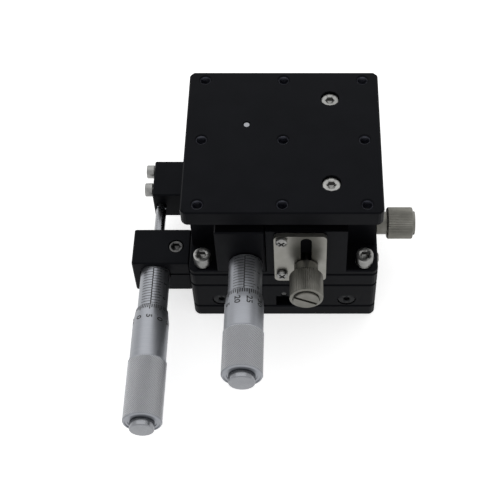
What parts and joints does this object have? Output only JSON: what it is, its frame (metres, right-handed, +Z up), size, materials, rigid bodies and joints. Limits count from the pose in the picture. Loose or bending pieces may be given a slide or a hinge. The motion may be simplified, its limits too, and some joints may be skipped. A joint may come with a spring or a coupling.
{
  "type": "xz translation stage",
  "caption": "Manual positioning stage: a crossed-roller table carries a wedge-driven lift plate, each moved by a micrometer head and locked by a clamp knob.",
  "frame": {"origin": "centre of the base plate's underside", "axes": "+Z up, +X towards the right-hand clamp knob, -Y towards the two micrometer thimbles"},
  "size_m": [0.0912, 0.1074, 0.056],
  "materials": {
    "black_anodise": "black satin anodise",
    "black_oxide": "blackened steel",
    "satin_chrome": "satin chrome",
    "bright_steel": "bright steel",
    "nickel": "satin nickel plate",
    "hardened_steel": "ground steel",
    "cage_brass": "plain"
  },
  "bodies": {
    "base": {"base_plate": "black_anodise", "base_bed_left": "black_anodise", "base_bed_right": "black_anodise", "end_cap_front": "black_anodise", "end_cap_rear": "black_anodise", "end_cap_screw_front_1": "black_oxide", "end_cap_screw_front_2": "black_oxide", "end_cap_screw_rear_1": "black_oxide", "end_cap_screw_rear_2": "black_oxide", "stop_pin": "bright_steel", "x_rail_fixed_left": "hardened_steel", "x_rail_fixed_right": "hardened_steel", "x_mic_block": "black_anodise", "x_mic_lock_screw": "bright_steel", "x_mic_sleeve": "satin_chrome", "x_clamp_plate": "nickel", "x_clamp_plate_screw_1": "bright_steel", "x_clamp_plate_screw_2": "bright_steel"},
    "x_stage": {"x_table": "black_anodise", "x_rail_moving_left": "hardened_steel", "x_rail_moving_right": "hardened_steel", "anvil_block": "black_anodise", "anvil_block_screw_1": "bright_steel", "anvil_block_screw_2": "bright_steel", "anvil_pin": "bright_steel", "lift_base": "black_anodise", "lift_base_screw_1": "bright_steel", "lift_base_screw_2": "bright_steel", "lift_base_screw_3": "bright_steel", "lift_base_screw_4": "bright_steel", "lift_rail_fixed_left": "hardened_steel", "lift_rail_fixed_right": "hardened_steel", "lift_mic_block": "black_anodise", "lift_mic_sleeve": "satin_chrome", "lift_clamp_plate": "nickel", "lift_clamp_plate_screw_1": "bright_steel", "lift_clamp_plate_screw_2": "bright_steel"},
    "x_cages": {"x_cage_left": "cage_brass", "x_cage_right": "cage_brass"},
    "x_drive": {"x_spindle": "bright_steel"},
    "x_turning": {"x_thimble": "satin_chrome", "x_thimble_cap": "satin_chrome"},
    "x_clamp": {"x_clamp_knob": "nickel"},
    "lift_drive": {"lift_spindle": "bright_steel", "lift_wedge": "hardened_steel"},
    "lift_turning": {"lift_thimble": "satin_chrome", "lift_thimble_cap": "satin_chrome"},
    "lift": {"top_plate": "black_anodise", "top_plate_screw_1": "bright_steel", "top_plate_screw_2": "bright_steel", "dowel_pin": "bright_steel", "lift_block": "black_anodise", "lift_rail_moving_left": "hardened_steel", "lift_rail_moving_right": "hardened_steel", "lift_clamp_arm": "black_anodise", "follower_pin": "bright_steel"},
    "lift_cages": {"lift_cage_left": "cage_brass", "lift_cage_right": "cage_brass"},
    "follower": {"follower_roller": "hardened_steel"},
    "lift_clamp": {"lift_clamp_knob": "nickel"}
  },
  "joints": [
    {"name": "x_thimble_turn", "type": "hinge", "parent": "x_drive", "child": "x_turning", "pos_m": [-0.0413, -0.038, 0.01727], "axis": [0, 1, 0], "range_deg": [-4680, 4680]},
    {"name": "x_stage_slide", "type": "slide", "parent": "base", "child": "x_stage", "axis": [0, 1, 0], "range_m": [-0.0065, 0.0065]},
    {"name": "x_spindle_slide", "type": "slide", "parent": "base", "child": "x_drive", "axis": [0, 1, 0], "range_m": [-0.0065, 0.0065]},
    {"name": "x_cage_slide", "type": "slide", "parent": "base", "child": "x_cages", "axis": [0, 1, 0], "range_m": [-0.00325, 0.00325]},
    {"name": "x_clamp_turn", "type": "hinge", "parent": "x_stage", "child": "x_clamp", "pos_m": [0.03005, -0.0054, 0.02045], "axis": [1, 0, 0], "range_deg": [0, 360]},
    {"name": "lift_thimble_turn", "type": "hinge", "parent": "lift_drive", "child": "lift_turning", "pos_m": [-0.01155, -0.04155, 0.03105], "axis": [0, 1, 0], "range_deg": [-4320, 4320]},
    {"name": "lift_drive_slide", "type": "slide", "parent": "x_stage", "child": "lift_drive", "axis": [0, 1, 0], "range_m": [-0.006, 0.006]},
    {"name": "lift_slide", "type": "slide", "parent": "x_stage", "child": "lift", "axis": [0, 0, 1], "range_m": [-0.003, 0.003]},
    {"name": "lift_cage_slide", "type": "slide", "parent": "x_stage", "child": "lift_cages", "axis": [0, 0, 1], "range_m": [-0.0015, 0.0015]},
    {"name": "follower_turn", "type": "hinge", "parent": "lift", "child": "follower", "pos_m": [0, 0.0017, 0.0338], "axis": [1, 0, 0], "range_deg": [-109.81, 109.81]},
    {"name": "lift_clamp_turn", "type": "hinge", "parent": "lift", "child": "lift_clamp", "pos_m": [0.0071, -0.0301, 0.0312], "axis": [0, -1, 0], "range_deg": [0, 360]}
  ],
  "couplings": [
    {"joint": "x_spindle_slide", "follows": "x_stage_slide", "ratio": 1},
    {"joint": "x_cage_slide", "follows": "x_stage_slide", "ratio": 0.5},
    {"joint": "x_thimble_turn", "follows": "x_stage_slide", "rad_per_m": 12566},
    {"joint": "lift_drive_slide", "follows": "lift_slide", "ratio": 2},
    {"joint": "lift_cage_slide", "follows": "lift_slide", "ratio": 0.5},
    {"joint": "lift_thimble_turn", "follows": "lift_slide", "rad_per_m": 25133},
    {"joint": "follower_turn", "follows": "lift_slide", "rad_per_m": 638.88}
  ]
}
